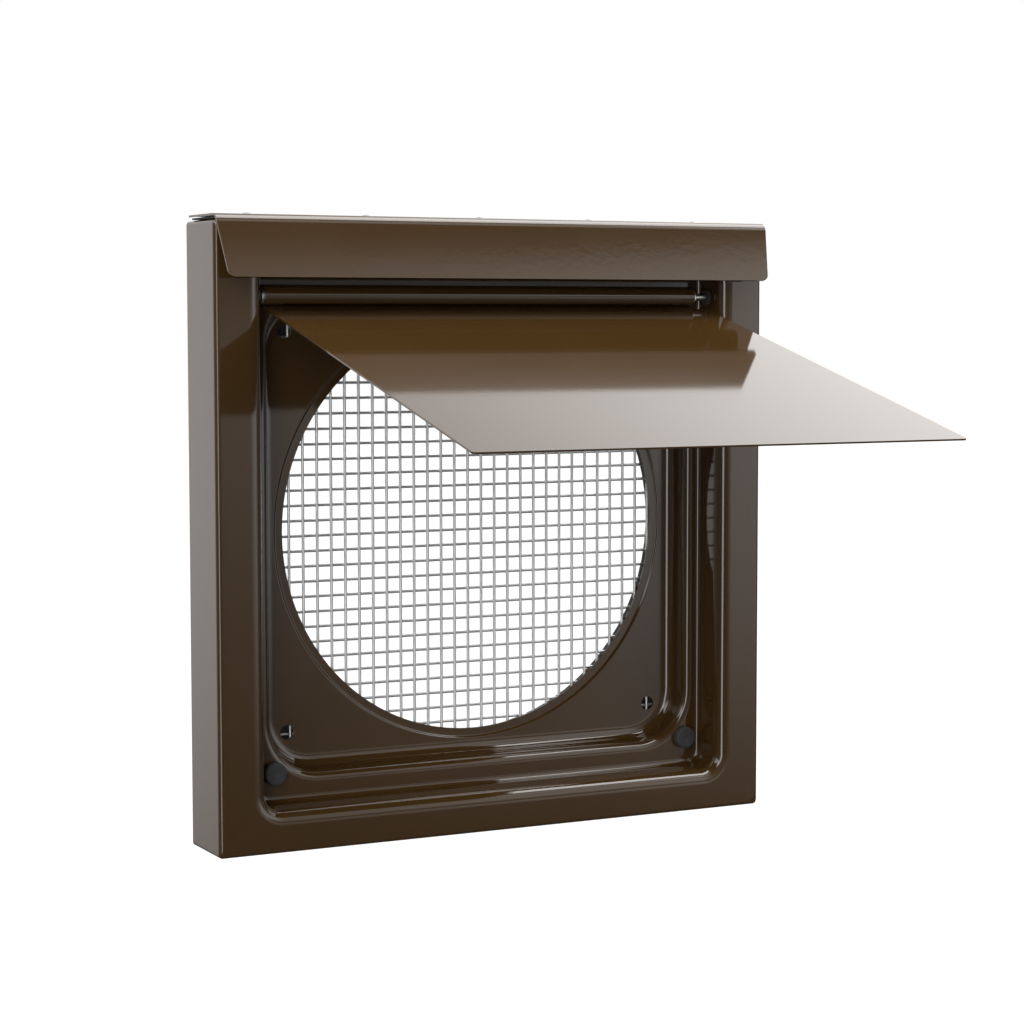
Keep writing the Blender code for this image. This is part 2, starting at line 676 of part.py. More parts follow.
def build_gasket(foam):
    """Foam sheet between the screen and the wall, with a hole for the duct."""
    half = wire_grid()[1] + GASKET_BORDER
    hole = OPENING_RADIUS + GASKET_HOLE_MARGIN
    bm = bmesh.new()
    outline = rounded_rectangle(half, half, POCKET_CORNER / 2)
    bore = circle(hole, BORE_STEPS)
    fronts = []
    for depth, normal in ((GASKET_FRONT, (0, -1, 0)), (WALL_DEPTH, (0, 1, 0))):
        outer = ring_of(bm, outline, depth)
        inner = ring_of(bm, bore, depth)
        bmesh.ops.triangle_fill(bm, use_beauty=True, normal=normal,
                                edges=ring_edges(bm, outer) + ring_edges(bm, inner))
        fronts.append((outer, inner))
    (outer_a, inner_a), (outer_b, inner_b) = fronts
    bridge(bm, outer_b, outer_a)
    bridge(bm, inner_a, inner_b)
    bmesh.ops.recalc_face_normals(bm, faces=bm.faces)
    return add_object("wall_gasket", finish_mesh("wall_gasket", bm), foam)


def main():
    clear_scene()
    coat = make_material("brown_coat", (0.042, 0.023, 0.011), 0.0, 0.22)
    steel = make_material("zinc_plated_steel", (0.62, 0.61, 0.58), 1.0, 0.30)
    zinc = make_material("galvanised_wire", (0.50, 0.50, 0.50), 1.0, 0.42)
    rubber = make_material("black_rubber", (0.020, 0.020, 0.021), 0.0, 0.60)
    nylon = make_material("black_nylon", (0.030, 0.028, 0.026), 0.0, 0.35)
    foam = make_material("black_foam", (0.012, 0.012, 0.012), 0.0, 0.90)
    build_housing(coat)
    build_hood(coat)
    build_hood_seal(foam)
    build_rivets(steel)
    pivot = damper_pivot()
    build_damper(coat, pivot)
    build_knuckle_bushes(steel, pivot)
    build_wall_bushes(nylon)
    build_rod(steel)
    build_clips(steel)
    build_bumpers(rubber)
    build_screen(zinc)
    build_gasket(foam)


main()
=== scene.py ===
import json
import math

import bmesh
import bpy
from mathutils import Matrix, Vector


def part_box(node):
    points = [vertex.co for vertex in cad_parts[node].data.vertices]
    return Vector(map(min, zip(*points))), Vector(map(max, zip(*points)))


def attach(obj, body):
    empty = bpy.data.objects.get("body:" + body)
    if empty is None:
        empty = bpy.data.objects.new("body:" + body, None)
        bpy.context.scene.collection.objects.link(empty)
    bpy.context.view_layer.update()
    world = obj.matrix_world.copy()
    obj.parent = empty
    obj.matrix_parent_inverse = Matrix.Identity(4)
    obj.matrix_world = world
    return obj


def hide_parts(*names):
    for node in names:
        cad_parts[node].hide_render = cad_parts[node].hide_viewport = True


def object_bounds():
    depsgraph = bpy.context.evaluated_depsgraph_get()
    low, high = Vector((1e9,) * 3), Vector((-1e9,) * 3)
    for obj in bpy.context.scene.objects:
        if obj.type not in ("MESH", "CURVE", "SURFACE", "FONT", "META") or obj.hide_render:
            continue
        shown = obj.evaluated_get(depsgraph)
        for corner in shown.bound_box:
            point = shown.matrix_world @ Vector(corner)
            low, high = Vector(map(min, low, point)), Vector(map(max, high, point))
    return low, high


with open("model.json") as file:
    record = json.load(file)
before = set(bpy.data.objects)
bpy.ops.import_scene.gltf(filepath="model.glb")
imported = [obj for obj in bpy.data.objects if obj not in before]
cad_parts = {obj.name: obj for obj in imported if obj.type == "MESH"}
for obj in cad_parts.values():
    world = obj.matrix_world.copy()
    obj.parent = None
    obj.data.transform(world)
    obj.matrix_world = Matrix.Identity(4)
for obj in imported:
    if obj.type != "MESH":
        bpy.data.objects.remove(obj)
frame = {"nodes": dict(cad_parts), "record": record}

bl_info = {
    "name": "Flush wall vent",
    "version": (1, 0, 0),
    "blender": (4, 5, 0),
    "location": "View3D > Sidebar > Wall vent",
    "description": "Dresses the frame of a flush wall vent with its finished pieces",
    "category": "Object",
}

CAD_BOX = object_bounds()
SIDES = {"left": -1, "right": 1}
SHARP = math.radians(32)


def length(name, description, default):
    """A size in metres that a user may change."""
    return bpy.props.FloatProperty(name=name, description=description, default=default,
                                   unit="LENGTH", subtype="DISTANCE", precision=5)


def colour(name, description, default):
    """A linear colour that a user may change."""
    return bpy.props.FloatVectorProperty(name=name, description=description, default=default,
                                         size=3, min=0.0, max=1.0, subtype="COLOR")


class VentSizes(bpy.types.PropertyGroup):
    """Sizes of the vent's pieces."""

    sheet: length("Sheet", "Thickness of the frame's and the hood's sheet", 0.0009)
    blade_sheet: length("Blade sheet", "Thickness of the blade's sheet", 0.0007)
    opening: length("Opening", "Diameter of the duct opening", 0.1754)
    rim_width: length("Rim width", "Width of the stepped rim round the opening", 0.004)
    rim_step: length("Rim step", "How far the rim lies behind the plate", 0.0008)
    plate_depth: length("Plate depth", "From the flange back to the plate", 0.0282)
    plate_half: length("Plate half", "Half the side of the flat plate", 0.0924)
    plate_rounding: length("Plate rounding", "Rounding at the foot of the pocket", 0.0052)
    pocket_run: length("Pocket run", "Draft of the pocket wall", 0.001)
    pocket_corner: length("Pocket corner", "Corner radius of the pocket", 0.022)
    pocket_rounding: length("Pocket rounding", "Rounding from shelf to pocket", 0.0034)
    shelf_side: length("Shelf side", "Width of the shelf at both sides", 0.0066)
    shelf_end: length("Shelf end", "Width of the shelf above and below", 0.0106)
    shelf_depth: length("Shelf depth", "From the flange back to the shelf", 0.0158)
    recess_corner: length("Recess corner", "Corner radius at the foot of the recess", 0.006)
    recess_rounding: length("Recess rounding", "Rounding at the foot of the recess", 0.0022)
    recess_run: length("Recess run", "Draft of the recess wall", 0.0016)
    flange_side: length("Flange side", "Width of the flange at both sides", 0.0202)
    flange_end: length("Flange end", "Width of the flange above and below", 0.0166)
    flange_rounding: length("Flange rounding", "Rounding from flange to recess", 0.0052)
    frame_depth: length("Frame depth", "Depth of the frame's outer sides", 0.0315)
    frame_bend: length("Frame bend", "Rounding of the frame's front edge", 0.0022)
    frame_corner: length("Frame corner", "Rounding of the frame's corners", 0.0017)
    fixing_hole: length("Fixing hole", "Diameter of the screw holes", 0.006)
    fixing_x: length("Fixing place across", "Screw hole from the middle, across", 0.0864)
    fixing_z: length("Fixing place up", "Screw hole from the middle, upright", 0.0831)

    hood_gap: length("Hood gap", "Gap between the frame and the hood's top", 0.0013)
    hood_drop: length("Hood drop", "Height of the hood", 0.025)
    hood_lip: length("Hood lip", "How far the lip leans out", 0.0074)
    hood_bend: length("Hood bend", "Rounding of the hood's bend", 0.0034)
    hood_standoff: length("Hood standoff", "Gap between flange and hood", 0.0014)
    hood_rear: length("Hood rear", "From the frame's rear edge to the hood's", 0.003)
    hood_trim: length("Hood trim", "How much the lip narrows at each end", 0.0027)
    hood_corner: length("Hood corner", "Corner radius of the lip", 0.0025)
    rivet_inset: length("Rivet inset", "From the frame's side to the first rivet", 0.022)
    rivet_rear: length("Rivet rear", "From the hood's rear edge to the rivets", 0.008)
    rivet_head: length("Rivet head", "Diameter of a rivet's head", 0.0064)
    rivet_shank: length("Rivet shank", "Diameter of a rivet's shank", 0.0032)
    rivet_count: bpy.props.IntProperty(name="Rivets", description="Rivets along the hood",
                                       default=5, min=2, max=12)

    hinge_drop: length("Hinge drop", "From the frame's top down to the hinge", 0.03)
    hinge_depth: length("Hinge depth", "From the flange back to the hinge", 0.0106)
    rod: length("Rod", "Diameter of the hinge rod", 0.003)
    knuckle: length("Knuckle", "Outside diameter of the rolled knuckle", 0.009)
    knuckle_left: length("Knuckle left", "From the middle to the knuckle's left end", 0.10285)
    knuckle_right: length("Knuckle right", "From the middle to its right end", 0.0970)
    blade_half: length("Blade half", "Half the width of the blade", 0.10285)
    blade_length: length("Blade length", "From the hinge to the blade's edge", 0.1977)
    blade_notch: length("Blade notch", "From the hinge to the blade's shoulder", 0.007)
    blade_corner: length("Blade corner", "Corner radius of the blade", 0.0015)
    open_angle: bpy.props.FloatProperty(name="Open angle", description="Blade from upright",
                                        default=math.radians(75.28), subtype="ANGLE")

    wire: length("Wire", "Diameter of the screen's wire", 0.00125)
    wire_pitch: length("Wire pitch", "From wire to wire", 0.00635)
    wire_count: bpy.props.IntProperty(name="Wires", description="Wires each way",
                                      default=31, min=2, max=80)
    screen_x: length("Screen across", "How far the screen sits off the middle", -0.0015)
    screen_z: length("Screen up", "How far the screen sits above the middle", -0.00185)

    bumper: length("Bumper", "Diameter of a bumper", 0.0096)
    bumper_height: length("Bumper height", "How far a bumper stands up", 0.0033)
    bumper_neck: length("Bumper neck", "Diameter of a bumper's neck", 0.004)
    bumper_edge: length("Bumper edge", "Rounding of a bumper's front edge", 0.0009)

    bush_wall: length("Bush wall", "Thickness of a wall bush's sleeve with its clearance", 0.00099)
    bush_play: length("Bush play", "Clearance of the rod in its bushes", 0.00009)
    wall_bush_rim: length("Wall bush rim", "Thickness of a wall bush's rim", 0.0007)
    knuckle_bush_rim: length("Knuckle bush rim", "Thickness of a knuckle bush's rim", 0.0009)
    groove: length("Groove", "Depth of the clips' grooves in the rod", 0.0004)
    play: length("Play", "Gap between a piece and its seat", 0.0003)
    hole_cut: length("Hole cut", "Length of the bars that cut the holes", 0.004)


class VentFinishes(bpy.types.PropertyGroup):
    """Colours of the vent's finishes."""

    coat: colour("Coat", "Brown enamel", (0.040, 0.0205, 0.0062))
    coat_deep: colour("Deep coat", "Brown enamel where it lies thick", (0.035, 0.0178, 0.0051))
    zinc: colour("Zinc", "Bright zinc plating", (0.58, 0.57, 0.54))
    wire: colour("Wire", "Galvanised wire", (0.56, 0.56, 0.55))
    rubber: colour("Rubber", "Bumper rubber", (0.006, 0.006, 0.006))
    nylon: colour("Nylon", "Moulded nylon", (0.012, 0.011, 0.010))
    # The foam colour also paints the shade in the gap under the hood and behind the screen
    foam: colour("Foam", "Gasket foam", (0.010, 0.010, 0.010))
    floor: colour("Floor", "Studio floor", (0.85, 0.85, 0.85))


class StudioSizes(bpy.types.PropertyGroup):
    """Place of the camera and how far the floor lies below the vent."""

    lens: bpy.props.FloatProperty(name="Lens", description="Focal length in millimetres",
                                  default=88.18)
    camera_x: length("Camera across", "Camera place", -0.47423)
    camera_y: length("Camera out", "Camera place", -0.96705)
    camera_z: length("Camera up", "Camera place", 0.08803)
    azimuth: bpy.props.FloatProperty(name="Azimuth", description="Direction of the view",
                                     default=math.radians(27.159), subtype="ANGLE")
    pitch: bpy.props.FloatProperty(name="Pitch", description="How far the view looks down",
                                   default=math.radians(4.4), subtype="ANGLE")
    roll: bpy.props.FloatProperty(name="Roll", description="Roll of the camera",
                                  default=math.radians(-0.043), subtype="ANGLE")
    floor_drop: length("Floor drop", "From the vent down to the floor", 0.45)


# Node building


class Value:
    """An output socket that can be used in sums."""

    def __init__(self, tree, socket):
        self.tree = tree
        self.socket = socket

    def maths(self, operation, first, second=None):
        inputs = {0: first} if second is None else {0: first, 1: second}
        return self.tree.add("ShaderNodeMath", {"operation": operation}, inputs)["Value"]

    def __add__(self, other):
        return self.maths("ADD", self, other)

    def __radd__(self, other):
        return self.maths("ADD", other, self)

    def __sub__(self, other):
        return self.maths("SUBTRACT", self, other)

    def __rsub__(self, other):
        return self.maths("SUBTRACT", other, self)

    def __mul__(self, other):
        return self.maths("MULTIPLY", self, other)

    def clamp(self):
        return self.maths("MAXIMUM", self.maths("MINIMUM", self, 1.0), 0.0)


class Node:
    """A node whose outputs are read by name."""

    def __init__(self, tree, node):
        self.tree = tree
        self.node = node

    def __getitem__(self, name):
        return Value(self.tree, self.node.outputs[name])


class Tree:
    """Adds nodes to a shader or geometry tree."""

    def __init__(self, nodes, links):
        self.nodes = nodes
        self.links = links

    def add(self, kind, options=None, inputs=None):
        node = self.nodes.new(kind)
        for name, value in (options or {}).items():
            setattr(node, name, value)
        for name, value in (inputs or {}).items():
            self.feed(node.inputs[name], value)
        return Node(self, node)

    def feed(self, target, value):
        if isinstance(value, Value):
            self.links.new(value.socket, target)
        elif isinstance(value, (tuple, list)) and target.type == "RGBA" and len(value) == 3:
            target.default_value = (*value, 1.0)
        else:
            target.default_value = value

    def mix(self, factor, first, second):
        node = self.add("ShaderNodeMix", {"data_type": "RGBA"})
        self.feed(node.node.inputs["Factor"], factor)
        for target, value in zip([s for s in node.node.inputs if s.type == "RGBA"],
                                 (first, second)):
            self.feed(target, value)
        output = [s for s in node.node.outputs if s.type == "RGBA"][0]
        return Value(self, output)

    def noise(self, coordinates, scale, detail=2.0, roughness=0.5):
        return self.add("ShaderNodeTexNoise", {}, {
            "Vector": coordinates, "Scale": scale, "Detail": detail,
            "Roughness": roughness})["Fac"]


def start_finish(name):
    """A new material with its shader node and Object coordinates."""
    material = bpy.data.materials.new(name)
    material.use_nodes = True
    tree = Tree(material.node_tree.nodes, material.node_tree.links)
    shader = material.node_tree.nodes["Principled BSDF"]
    place = tree.add("ShaderNodeTexCoord")["Object"]
    return material, tree, shader, place


def set_sockets(tree, shader, values):
    for name, value in values.items():
        tree.feed(shader.inputs[name], value)


def bump(tree, height, distance, strength):
    return tree.add("ShaderNodeBump", {}, {
        "Height": height, "Distance": distance, "Strength": strength})["Normal"]


def enamel_finish(finishes):
    """Glossy brown enamel with a faint orange peel and a little uneven gloss."""
    material, tree, shader, place = start_finish("brown_enamel")
    cloud = tree.noise(place, 18.0, 3.0)
    speck = tree.noise(place, 1400.0, 1.0)
    peel = tree.noise(place, 420.0, 2.0, 0.45)
    shade = tree.mix(cloud, tuple(finishes.coat_deep), tuple(finishes.coat))
    set_sockets(tree, shader, {
        "Base Color": shade,
        "Roughness": 0.035 + cloud * 0.03 + speck * 0.02,
        "IOR": 1.5,
        "Normal": bump(tree, peel + speck * 0.25, 0.00003, 0.15),
    })
    return material


def metal_finish(name, shade, roughness, grain):
    """Plated steel with fine grain and cloudy plating."""
    material, tree, shader, place = start_finish(name)
    cloud = tree.noise(place, 260.0, 3.0)
    fine = tree.noise(place, grain, 2.0)
    dull = tuple(0.72 * part for part in shade)
    set_sockets(tree, shader, {
        "Base Color": tree.mix(cloud, dull, shade),
        "Metallic": 1.0,
        "Roughness": roughness + cloud * 0.12 + fine * 0.06,
        "Normal": bump(tree, fine, 0.00002, 0.3),
    })
    return material


def rubber_finish(finishes):
    """Moulded black rubber with a dusty bloom."""
    material, tree, shader, place = start_finish("black_rubber")
    bloom = tree.noise(place, 600.0, 3.0)
    grain = tree.noise(place, 3000.0, 2.0)
    pale = tuple(2.4 * part for part in finishes.rubber)
    set_sockets(tree, shader, {
        "Base Color": tree.mix(bloom * 0.25, tuple(finishes.rubber), pale),
        "Roughness": 0.5 + bloom * 0.2,
        "Specular IOR Level": 0.08,
        "Normal": bump(tree, grain, 0.00003, 0.4),
    })
    return material


def nylon_finish(finishes):
    """Moulded black nylon, slightly waxy."""
    material, tree, shader, place = start_finish("black_nylon")
    cloud = tree.noise(place, 500.0, 2.0)
    pale = tuple(1.8 * part for part in finishes.nylon)
    set_sockets(tree, shader, {
        "Base Color": tree.mix(cloud, tuple(finishes.nylon), pale),
        "Roughness": 0.34 + cloud * 0.1,
        "Normal": bump(tree, cloud, 0.00002, 0.2),
    })
    return material


def foam_and_gap_shade_finish(finishes):
    """Closed-cell foam with open pores on its skin; its black also paints the shade in the gap
    under the hood and behind the screen.
    """
    material, tree, shader, place = start_finish("black_foam")
    cells = tree.add("ShaderNodeTexVoronoi", {"feature": "DISTANCE_TO_EDGE"}, {
        "Vector": place, "Scale": 1500.0})["Distance"]
    cloud = tree.noise(place, 90.0, 3.0)
    rim = (1.0 - cells * 3.0).clamp()
    pale = tuple(3.2 * part for part in finishes.foam)
    set_sockets(tree, shader, {
        "Base Color": tree.mix(rim * cloud, tuple(finishes.foam), pale),
        "Roughness": 0.84 + cloud * 0.12,
        "Normal": bump(tree, rim + cloud, 0.0001, 0.5),
    })
    return material


# Mesh building


def new_object(name, data):
    """An object at the origin, linked to the scene."""
    item = bpy.data.objects.new(name, data)
    bpy.context.scene.collection.objects.link(item)
    return item


def add_piece(name, mesh, material, *nodes):
    """Puts a finished mesh in the scene in place of the CAD nodes it stands for."""
    piece = new_object(name, mesh)
    mesh.materials.clear()
    mesh.materials.append(material)
    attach(piece, body_of(nodes[0]))
    slot_of(nodes[0])
    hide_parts(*nodes)


def body_of(node):
    for body, nodes in frame["record"]["behaviour"]["bodies"].items():
        if node in nodes:
            return body
    raise KeyError(node)


def slot_of(node):
    for entry in frame["record"]["subparts"]:
        if entry["node"] == node:
            return entry["material_slot"]
    raise KeyError(node)


def middle_of(node):
    """The middle of a CAD node's box."""
    return (Vector(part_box(node)[0]) + Vector(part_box(node)[1])) / 2


def mesh_from(name, bm):
    mesh = bpy.data.meshes.new(name)
    bm.to_mesh(mesh)
    bm.free()
    mesh.shade_smooth()
    mesh.set_sharp_from_angle(angle=SHARP)
    return mesh


def settled_mesh(name, mesh, add_modifiers, cutters=()):
    """The mesh with its modifiers worked in."""
    piece = new_object(name + "_raw", mesh)
    add_modifiers(piece)
    bpy.context.view_layer.update()
    graph = bpy.context.evaluated_depsgraph_get()
    result = bpy.data.meshes.new_from_object(piece.evaluated_get(graph), depsgraph=graph,
                                             preserve_all_data_layers=True)
    for item in (piece, *cutters):
        bpy.data.objects.remove(item, do_unlink=True)
    result.name = name
    return result


def solidify(piece, thickness):
    wall = piece.modifiers.new("sheet", "SOLIDIFY")
    wall.thickness = thickness
    wall.offset = -1.0
    wall.use_even_offset = True


def soften(piece, width):
    edge = piece.modifiers.new("edge", "BEVEL")
    edge.width = width
    edge.segments = 2
    edge.limit_method = "ANGLE"
    edge.angle_limit = math.radians(50)
    edge.harden_normals = False


def weigh(piece):
    flat = piece.modifiers.new("flat faces", "WEIGHTED_NORMAL")
    flat.keep_sharp = True
    flat.weight = 90


def flat_faced(mesh):
    """The mesh with crisp edges, and shading that leaves its flat faces flat."""
    mesh.set_sharp_from_angle(angle=SHARP)
    return settled_mesh(mesh.name, mesh, weigh)


def round_path(stations, steps):
    """A path whose corners are rounded; each station is (values, rounding)."""
    path = []
    for index, (corner, rounding) in enumerate(stations):
        if rounding == 0:
            path.append(list(corner))
            continue
        ends = []
        for other in (stations[index - 1][0], stations[index + 1][0]):
            leg = [b - a for a, b in zip(corner, other)]
            reach = math.hypot(leg[0], leg[1])
            ends.append([a + d * rounding / reach for a, d in zip(corner, leg)])
        for step in range(steps + 1):
            t = step / steps
            weights = ((1 - t) ** 2, 2 * t * (1 - t), t ** 2)
            path.append([sum(w * v for w, v in zip(weights, trio))
                         for trio in zip(ends[0], corner, ends[1])])
    return path


def rounded_rectangle(half_x, half_z, radius, steps):
    points = []
    for quarter, (side_x, side_z) in enumerate(((1, 1), (-1, 1), (-1, -1), (1, -1))):
        for step in range(steps + 1):
            angle = (quarter + step / steps) * math.pi / 2
            points.append((side_x * (half_x - radius) + radius * math.cos(angle),
                           side_z * (half_z - radius) + radius * math.sin(angle)))
    return points


def circle(radius, steps, centre=(0.0, 0.0)):
    turns = [2 * math.pi * (step + 0.5) / steps for step in range(steps)]
    return [(centre[0] + radius * math.cos(a), centre[1] + radius * math.sin(a)) for a in turns]


def ring_at(bm, outline, y):
    return [bm.verts.new((x, y, z)) for x, z in outline]


def bridge(bm, outer, inner):
    for index, vert in enumerate(outer):
        after = (index + 1) % len(outer)
        bm.faces.new((vert, outer[after], inner[after], inner[index]))


def ring_edges(bm, ring):
    pairs = zip(ring, ring[1:] + ring[:1])
    return [bm.edges.get(pair) or bm.edges.new(pair) for pair in pairs]


def strip(rows):
    """A skin from rows (left end, right end, y, z) that run along X."""
    bm = bmesh.new()
    before = None
    for left, right, y, z in rows:
        row = (bm.verts.new((left, y, z)), bm.verts.new((right, y, z)))
        if before:
            bm.faces.new((before[0], before[1], row[1], row[0]))
        before = row
    return bm


def turned(name, profile, steps, axis):
    """A closed profile of (radius, along) points turned round the X, Y or Z axis."""
    bm = bmesh.new()
    turn = {"X": Matrix.Rotation(math.pi / 2, 3, "Y"), "Y": Matrix.Rotation(-math.pi / 2, 3, "X"),
            "Z": Matrix.Identity(3)}[axis]
    rings = []
    for radius, along in profile:
        count = 1 if radius == 0 else steps
        rings.append([bm.verts.new(turn @ Vector((
            radius * math.cos(2 * math.pi * k / steps),
            radius * math.sin(2 * math.pi * k / steps), along))) for k in range(count)])
    for ring, after in zip(rings, rings[1:] + rings[:1]):
        if len(ring) == 1 and len(after) == 1:
            continue
        for k in range(steps):
            face = [ring[k % len(ring)], ring[(k + 1) % len(ring)],
                    after[(k + 1) % len(after)], after[k % len(after)]]
            bm.faces.new(list(dict.fromkeys(face)))
    bmesh.ops.recalc_face_normals(bm, faces=bm.faces)
    return mesh_from(name, bm)


def cutter(name, centres, radius, reach, axis):
    """Round bars of one size, along one axis, that cut holes."""
    turn = {"X": Matrix.Rotation(math.pi / 2, 4, "Y"), "Y": Matrix.Rotation(math.pi / 2, 4, "X"),
            "Z": Matrix.Identity(4)}[axis]
    bm = bmesh.new()
    for centre in centres:
        bmesh.ops.create_cone(bm, cap_ends=True, segments=48, radius1=radius, radius2=radius,
                              depth=reach, matrix=Matrix.Translation(centre) @ turn)
    return new_object(name, mesh_from(name, bm))


def cut(piece, tool):
    hole = piece.modifiers.new(tool.name, "BOOLEAN")
    hole.operation = "DIFFERENCE"
    hole.solver = "EXACT"
    hole.object = tool


# Places worked out from the sizes


class Layout:
    """Planes and axes that the pieces share, in metres."""

    def __init__(self, s):
        self.pocket_foot = s.plate_half + s.plate_rounding
        self.pocket = self.pocket_foot + s.pocket_run
        self.shelf_x = self.pocket + s.shelf_side
        self.shelf_z = self.pocket + s.shelf_end
        self.recess_x = self.shelf_x + s.recess_run
        self.recess_z = self.shelf_z + s.recess_run
        self.half_x = self.recess_x + s.flange_side
        self.half_z = self.recess_z + s.flange_end
        self.flange_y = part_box("housing")[0][1]
        self.hinge = Vector((0, self.flange_y + s.hinge_depth, self.half_z - s.hinge_drop))
        self.draft = s.recess_run / s.shelf_depth
        self.wall_at_hinge = self.recess_x - self.draft * s.hinge_depth
        self.rivet_y = self.flange_y + s.frame_depth - s.hood_rear - s.rivet_rear
        reach = self.half_x - s.rivet_inset
        self.rivets = [reach * (2 * k / (s.rivet_count - 1) - 1) for k in range(s.rivet_count)]


def settings():
    """The vent's sizes and the places worked out from them."""
    sizes = bpy.context.scene.vent_sizes
    return sizes, Layout(sizes)


def node_group(name, inputs):
    """A geometry group with these inputs and a mesh as its output."""
    group = bpy.data.node_groups.new(name, "GeometryNodeTree")
    sockets = {label: group.interface.new_socket(label, in_out="INPUT", socket_type=kind)
               for label, kind in inputs.items()}
    group.interface.new_socket("Mesh", in_out="OUTPUT", socket_type="NodeSocketGeometry")
    return group, sockets, Tree(group.nodes, group.links)


def run_group(name, group, sockets, values, spare=()):
    """The mesh that a geometry group makes from these input values."""

    def work(piece):
        modifier = piece.modifiers.new(group.name, "NODES")
        modifier.node_group = group
        for label, value in values.items():
            modifier[sockets[label].identifier] = value

    return settled_mesh(name, bpy.data.meshes.new(name), work, spare)


def finish(name):
    """A finish of the vent, made on its first use."""
    made = bpy.data.materials.get(name)
    if made:
        return made
    finishes = bpy.context.scene.vent_finishes
    makers = {
        "brown_enamel": lambda: enamel_finish(finishes),
        "zinc_plate": lambda: metal_finish("zinc_plate", tuple(finishes.zinc), 0.26, 2600.0),
        "galvanised_wire": lambda: metal_finish("galvanised_wire", tuple(finishes.wire), 0.30,
                                                1800.0),
        "black_rubber": lambda: rubber_finish(finishes),
        "black_nylon": lambda: nylon_finish(finishes),
        "black_foam": lambda: foam_and_gap_shade_finish(finishes),
    }
    return makers[name]()


def dress(node, name):
    """Gives a CAD node that keeps its mesh the finish of that name."""
    mesh = frame["nodes"][node].data
    mesh.materials.clear()
    mesh.materials.append(finish(name))


class PressFrame(bpy.types.Operator):
    """Presses the frame with its flange, recess, shelf, pocket and stepped opening"""

    bl_idname = "vent.press_frame"
    bl_label = "Press the frame"

    def execute(self, context):
        s, at = settings()
        corner_steps = 14
        bore_steps = 160
        # A flat face starts just past the rounding beside it
        near = 1.05
        recess_corner = s.recess_corner + s.recess_run
        foot_corner = s.pocket_corner - s.pocket_run
        flange_out = near * s.flange_rounding
        shelf_out = near * s.recess_rounding
        pocket_out = near * s.pocket_rounding
        stations = [
            [(at.half_x, s.frame_depth, at.half_z, s.frame_corner), 0],
            [(at.half_x, 0, at.half_z, s.frame_corner), s.frame_bend],
            [(at.recess_x + flange_out, 0, at.recess_z + flange_out,
              recess_corner + flange_out), 0],
            [(at.recess_x, 0, at.recess_z, recess_corner), s.flange_rounding],
            [(at.shelf_x, s.shelf_depth, at.shelf_z, s.recess_corner), s.recess_rounding],
            [(at.shelf_x - shelf_out, s.shelf_depth, at.shelf_z - shelf_out,
              s.recess_corner - shelf_out), 0],
            [(at.pocket + pocket_out, s.shelf_depth, at.pocket + pocket_out,
              s.pocket_corner + pocket_out), 0],
            [(at.pocket, s.shelf_depth, at.pocket, s.pocket_corner), s.pocket_rounding],
            [(at.pocket_foot, s.plate_depth, at.pocket_foot, foot_corner), s.plate_rounding],
            [(s.plate_half, s.plate_depth, s.plate_half, foot_corner - s.plate_rounding), 0],
        ]
        bm = bmesh.new()
        rings = [ring_at(bm, rounded_rectangle(x, z, radius, corner_steps), at.flange_y + depth)
                 for x, depth, z, radius in round_path(stations, 10)[:-1]]
        for outer, inner in zip(rings, rings[1:]):
            bridge(bm, outer, inner)
        plate_y = at.flange_y + s.plate_depth
        bore = s.opening / 2
        rim = bore + s.rim_width
        rim_path = round_path([
            [(rim + s.rim_step, 0), 0], [(rim, 0), s.rim_step * 0.5],
            [(rim - s.rim_step * 0.75, s.rim_step), s.rim_step * 0.5], [(bore, s.rim_step), 0]], 4)
        hoops = [ring_at(bm, circle(radius, bore_steps), plate_y + depth)
                 for radius, depth in rim_path[1:]]
        for outer, inner in zip(hoops, hoops[1:]):
            bridge(bm, outer, inner)
        edges = ring_edges(bm, rings[-1]) + ring_edges(bm, hoops[0])
        for sx in (-1, 1):
            for sz in (-1, 1):
                place = (sx * s.fixing_x, sz * s.fixing_z)
                edges += ring_edges(bm, ring_at(bm, circle(s.fixing_hole / 2, 40, place),
                                                plate_y))
        bmesh.ops.triangle_fill(bm, use_beauty=True, edges=edges, normal=(0, -1, 0))
        shelf_y = at.flange_y + s.shelf_depth
        bumpers = [middle_of(f"bumper_{side}") for side in SIDES]
        bush_hole = s.rod / 2 + s.bush_wall + s.play
        rivet_hole = s.rivet_shank / 2 + s.play
        tools = [
            cutter("hinge_cut", [(sign * at.wall_at_hinge, at.hinge.y, at.hinge.z)
                                 for sign in SIDES.values()], bush_hole, s.hole_cut, "X"),
            cutter("bumper_cut", [(centre.x, shelf_y, centre.z) for centre in bumpers],
                   s.bumper_neck / 2 + s.play, s.hole_cut, "Y"),
            cutter("rivet_cut", [(x, at.rivet_y, at.half_z) for x in at.rivets], rivet_hole,
                   s.hole_cut, "Z")]

        def work(piece):
            solidify(piece, s.sheet)
            for tool in tools:
                cut(piece, tool)

        mesh = settled_mesh("pressed_frame", mesh_from("pressed_frame", bm), work, tools)
        mesh = flat_faced(mesh)
        add_piece("pressed_frame", mesh, finish("brown_enamel"), "housing")
        return {"FINISHED"}


